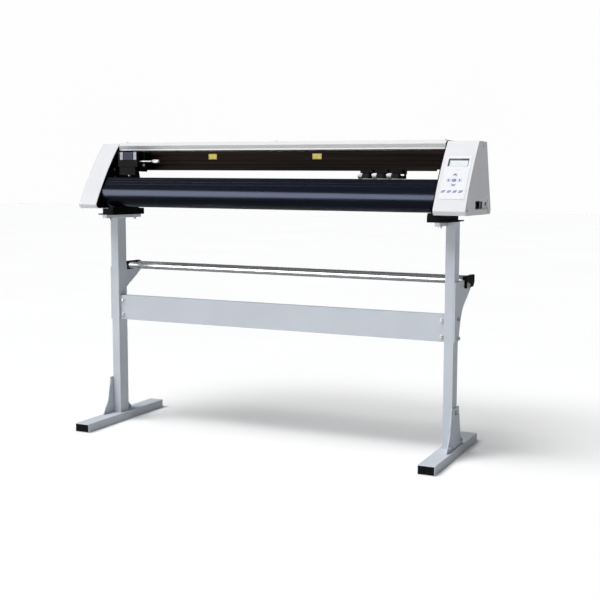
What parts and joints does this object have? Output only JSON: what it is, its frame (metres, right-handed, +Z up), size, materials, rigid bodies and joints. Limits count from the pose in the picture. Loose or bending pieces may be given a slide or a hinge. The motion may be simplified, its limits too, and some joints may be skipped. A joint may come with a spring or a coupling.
{
  "type": "vinyl cutter",
  "caption": "Wide roll-fed vinyl cutter with a travelling knife carriage, keypad end cover and tubular floor stand with media rods.",
  "frame": {"origin": "on the floor, midway between the two feet and midway from the front to the back of the feet", "axes": "+X along the machine towards the keypad end, +Y from the operator's side to the back, +Z up"},
  "size_m": [1.4576, 0.464, 1.0395],
  "materials": {
    "stand_paint": "satin powder coat, light blue-grey",
    "black_plastic": "fine matt",
    "chrome_rod": "polished",
    "black_metal": "satin black",
    "zinc_steel": "zinc plated",
    "white_plastic": "fine moulded texture, semi-gloss",
    "lid_paint": "satin white",
    "bed_anodised": "glossy blue-black anodised",
    "beam_anodised": "dark brown-black anodised",
    "strip_rubber": "matt",
    "ground_steel": "knurled and ground",
    "belt_rubber": "matt",
    "board_green": "solder mask",
    "supply_metal": "plain sheet",
    "key_blue": "matt grey-blue",
    "key_white": "matt",
    "overlay_film": "printed film",
    "roller_white": "matt white",
    "carriage_black": "semi-gloss moulded",
    "knife_steel": "turned and knurled"
  },
  "bodies": {
    "stand_and_machine": {"foot_left": "stand_paint", "foot_right": "stand_paint", "foot_end_caps": "black_plastic", "upright_left": "stand_paint", "upright_right": "stand_paint", "foot_gussets": "stand_paint", "crossbar": "stand_paint", "rod_brackets": "stand_paint", "rod_end_blocks": "black_plastic", "stand_bolts": "zinc_steel", "machine_mounts": "black_metal", "side_frame_left": "black_metal", "side_frame_right": "black_metal", "end_cover_left": "white_plastic", "end_cover_right": "white_plastic", "panel_overlay": "overlay_film", "top_cover": "lid_paint", "beam": "beam_anodised", "platen": "bed_anodised", "cutting_strip": "strip_rubber", "shaft_bearings": "ground_steel", "stepper_motors": "black_metal", "drive_belts": "belt_rubber", "circuit_boards": "board_green", "power_supply": "supply_metal", "power_inlet": "black_plastic", "data_port": "supply_metal", "cover_screws": "zinc_steel"},
    "media_rod_front": {"media_rod_front": "chrome_rod"},
    "media_rod_rear": {"media_rod_rear": "chrome_rod"},
    "power_rocker": {"power_switch": "black_plastic"},
    "feed_shaft": {"grit_shaft": "ground_steel", "grit_pulley": "black_plastic"},
    "feed_motor_wheel": {"feed_motor_pulley": "zinc_steel"},
    "carriage_motor_wheel": {"carriage_motor_pulley": "zinc_steel"},
    "idler_wheel": {"idler_pulley": "zinc_steel"},
    "carriage_unit": {"carriage": "black_metal", "carriage_cover": "carriage_black"},
    "tool_unit": {"tool_slide": "carriage_black", "knife_holder": "knife_steel"},
    "blade": {"knife_blade": "knife_steel"},
    "clamp_knob": {"clamp_screw": "knife_steel"},
    "pinch_shoe_1": {"pinch_holder_1": "black_metal"},
    "pinch_lever_1": {"pinch_arm_1": "black_plastic"},
    "pinch_wheel_1": {"pinch_roller_1": "roller_white"},
    "pinch_shoe_2": {"pinch_holder_2": "black_metal"},
    "pinch_lever_2": {"pinch_arm_2": "black_plastic"},
    "pinch_wheel_2": {"pinch_roller_2": "roller_white"},
    "pinch_shoe_3": {"pinch_holder_3": "black_metal"},
    "pinch_lever_3": {"pinch_arm_3": "black_plastic"},
    "pinch_wheel_3": {"pinch_roller_3": "roller_white"},
    "key_up_cap": {"key_up": "key_white"},
    "key_left_cap": {"key_left": "key_white"},
    "key_enter_cap": {"key_enter": "key_blue"},
    "key_right_cap": {"key_right": "key_white"},
    "key_down_cap": {"key_down": "key_white"},
    "key_function_1_cap": {"key_function_1": "key_blue"},
    "key_function_2_cap": {"key_function_2": "key_blue"},
    "key_function_3_cap": {"key_function_3": "key_blue"},
    "key_function_4_cap": {"key_function_4": "key_blue"}
  },
  "joints": [
    {"name": "media_rod_front_spin", "type": "hinge", "parent": "stand_and_machine", "child": "media_rod_front", "pos_m": [0, 0.088, 0.578], "axis": [1, 0, 0], "continuous": true},
    {"name": "media_rod_rear_spin", "type": "hinge", "parent": "stand_and_machine", "child": "media_rod_rear", "pos_m": [0, 0.144, 0.578], "axis": [1, 0, 0], "continuous": true},
    {"name": "power_switch_rock", "type": "hinge", "parent": "stand_and_machine", "child": "power_rocker", "pos_m": [0.719, 0.063, 0.828], "axis": [0, -1, 0], "range_deg": [0, 18]},
    {"name": "grit_shaft_spin", "type": "hinge", "parent": "stand_and_machine", "child": "feed_shaft", "pos_m": [0, -0.015, 0.8994], "axis": [1, 0, 0], "continuous": true},
    {"name": "feed_motor_spin", "type": "hinge", "parent": "stand_and_machine", "child": "feed_motor_wheel", "pos_m": [0.682, 0.075, 0.86], "axis": [1, 0, 0], "continuous": true},
    {"name": "carriage_slide", "type": "slide", "parent": "stand_and_machine", "child": "carriage_unit", "axis": [1, 0, 0], "range_m": [-0.01, 1.04]},
    {"name": "carriage_motor_spin", "type": "hinge", "parent": "stand_and_machine", "child": "carriage_motor_wheel", "pos_m": [0.65, 0.007, 0.985], "axis": [0, 1, 0], "range_deg": [-5960, 60]},
    {"name": "idler_spin", "type": "hinge", "parent": "stand_and_machine", "child": "idler_wheel", "pos_m": [-0.69, 0.007, 0.985], "axis": [0, 1, 0], "range_deg": [-5960, 60]},
    {"name": "tool_lift", "type": "slide", "parent": "carriage_unit", "child": "tool_unit", "axis": [0, 0, 1], "range_m": [-0.003, 0], "stiffness_N_per_m": 600, "springref_m": 0.01},
    {"name": "knife_swivel", "type": "hinge", "parent": "tool_unit", "child": "blade", "pos_m": [-0.561, -0.051, 0.93], "axis": [0, 0, 1], "continuous": true},
    {"name": "clamp_screw_turn", "type": "hinge", "parent": "tool_unit", "child": "clamp_knob", "pos_m": [-0.5, -0.051, 0.967], "axis": [1, 0, 0], "range_deg": [0, 720]},
    {"name": "pinch_1_slide", "type": "slide", "parent": "stand_and_machine", "child": "pinch_shoe_1", "axis": [1, 0, 0], "range_m": [-0.955, 0.0025]},
    {"name": "pinch_1_lift", "type": "hinge", "parent": "pinch_shoe_1", "child": "pinch_lever_1", "pos_m": [0.3536, 0.036, 0.918], "axis": [-1, 0, 0], "range_deg": [0, 8], "stiffness_Nm_per_rad": 0.6, "springref_deg": -22.92},
    {"name": "pinch_1_spin", "type": "hinge", "parent": "pinch_lever_1", "child": "pinch_wheel_1", "pos_m": [0.3316, -0.015, 0.9192], "axis": [1, 0, 0], "continuous": true},
    {"name": "pinch_2_slide", "type": "slide", "parent": "stand_and_machine", "child": "pinch_shoe_2", "axis": [1, 0, 0], "range_m": [-0.0025, 0.0025]},
    {"name": "pinch_2_lift", "type": "hinge", "parent": "pinch_shoe_2", "child": "pinch_lever_2", "pos_m": [0.4054, 0.036, 0.918], "axis": [-1, 0, 0], "range_deg": [0, 8], "stiffness_Nm_per_rad": 0.6, "springref_deg": -22.92},
    {"name": "pinch_2_spin", "type": "hinge", "parent": "pinch_lever_2", "child": "pinch_wheel_2", "pos_m": [0.3834, -0.015, 0.9192], "axis": [1, 0, 0], "continuous": true},
    {"name": "pinch_3_slide", "type": "slide", "parent": "stand_and_machine", "child": "pinch_shoe_3", "axis": [1, 0, 0], "range_m": [-0.0025, 0.104]},
    {"name": "pinch_3_lift", "type": "hinge", "parent": "pinch_shoe_3", "child": "pinch_lever_3", "pos_m": [0.4572, 0.036, 0.918], "axis": [-1, 0, 0], "range_deg": [0, 8], "stiffness_Nm_per_rad": 0.6, "springref_deg": -22.92},
    {"name": "pinch_3_spin", "type": "hinge", "parent": "pinch_lever_3", "child": "pinch_wheel_3", "pos_m": [0.4352, -0.015, 0.9192], "axis": [1, 0, 0], "continuous": true},
    {"name": "key_up_press", "type": "slide", "parent": "stand_and_machine", "child": "key_up_cap", "axis": [0, 0.837, -0.5473], "range_m": [0, 0.001], "stiffness_N_per_m": 300, "springref_m": -0.0005},
    {"name": "key_left_press", "type": "slide", "parent": "stand_and_machine", "child": "key_left_cap", "axis": [0, 0.847, -0.5315], "range_m": [0, 0.001], "stiffness_N_per_m": 300, "springref_m": -0.0005},
    {"name": "key_enter_press", "type": "slide", "parent": "stand_and_machine", "child": "key_enter_cap", "axis": [0, 0.847, -0.5315], "range_m": [0, 0.001], "stiffness_N_per_m": 300, "springref_m": -0.0005},
    {"name": "key_right_press", "type": "slide", "parent": "stand_and_machine", "child": "key_right_cap", "axis": [0, 0.847, -0.5315], "range_m": [0, 0.001], "stiffness_N_per_m": 300, "springref_m": -0.0005},
    {"name": "key_down_press", "type": "slide", "parent": "stand_and_machine", "child": "key_down_cap", "axis": [0, 0.8554, -0.518], "range_m": [0, 0.001], "stiffness_N_per_m": 300, "springref_m": -0.0005},
    {"name": "key_function_1_press", "type": "slide", "parent": "stand_and_machine", "child": "key_function_1_cap", "axis": [0, 0.8663, -0.4995], "range_m": [0, 0.001], "stiffness_N_per_m": 300, "springref_m": -0.0005},
    {"name": "key_function_2_press", "type": "slide", "parent": "stand_and_machine", "child": "key_function_2_cap", "axis": [0, 0.8663, -0.4995], "range_m": [0, 0.001], "stiffness_N_per_m": 300, "springref_m": -0.0005},
    {"name": "key_function_3_press", "type": "slide", "parent": "stand_and_machine", "child": "key_function_3_cap", "axis": [0, 0.8663, -0.4995], "range_m": [0, 0.001], "stiffness_N_per_m": 300, "springref_m": -0.0005},
    {"name": "key_function_4_press", "type": "slide", "parent": "stand_and_machine", "child": "key_function_4_cap", "axis": [0, 0.8663, -0.4995], "range_m": [0, 0.001], "stiffness_N_per_m": 300, "springref_m": -0.0005}
  ],
  "couplings": [
    {"joint": "feed_motor_spin", "follows": "grit_shaft_spin", "ratio": 3},
    {"joint": "carriage_motor_spin", "follows": "carriage_slide", "rad_per_m": -100},
    {"joint": "idler_spin", "follows": "carriage_slide", "rad_per_m": -100},
    {"joint": "pinch_1_spin", "follows": "grit_shaft_spin", "ratio": -1.0526},
    {"joint": "pinch_2_spin", "follows": "grit_shaft_spin", "ratio": -1.0526},
    {"joint": "pinch_3_spin", "follows": "grit_shaft_spin", "ratio": -1.0526}
  ]
}
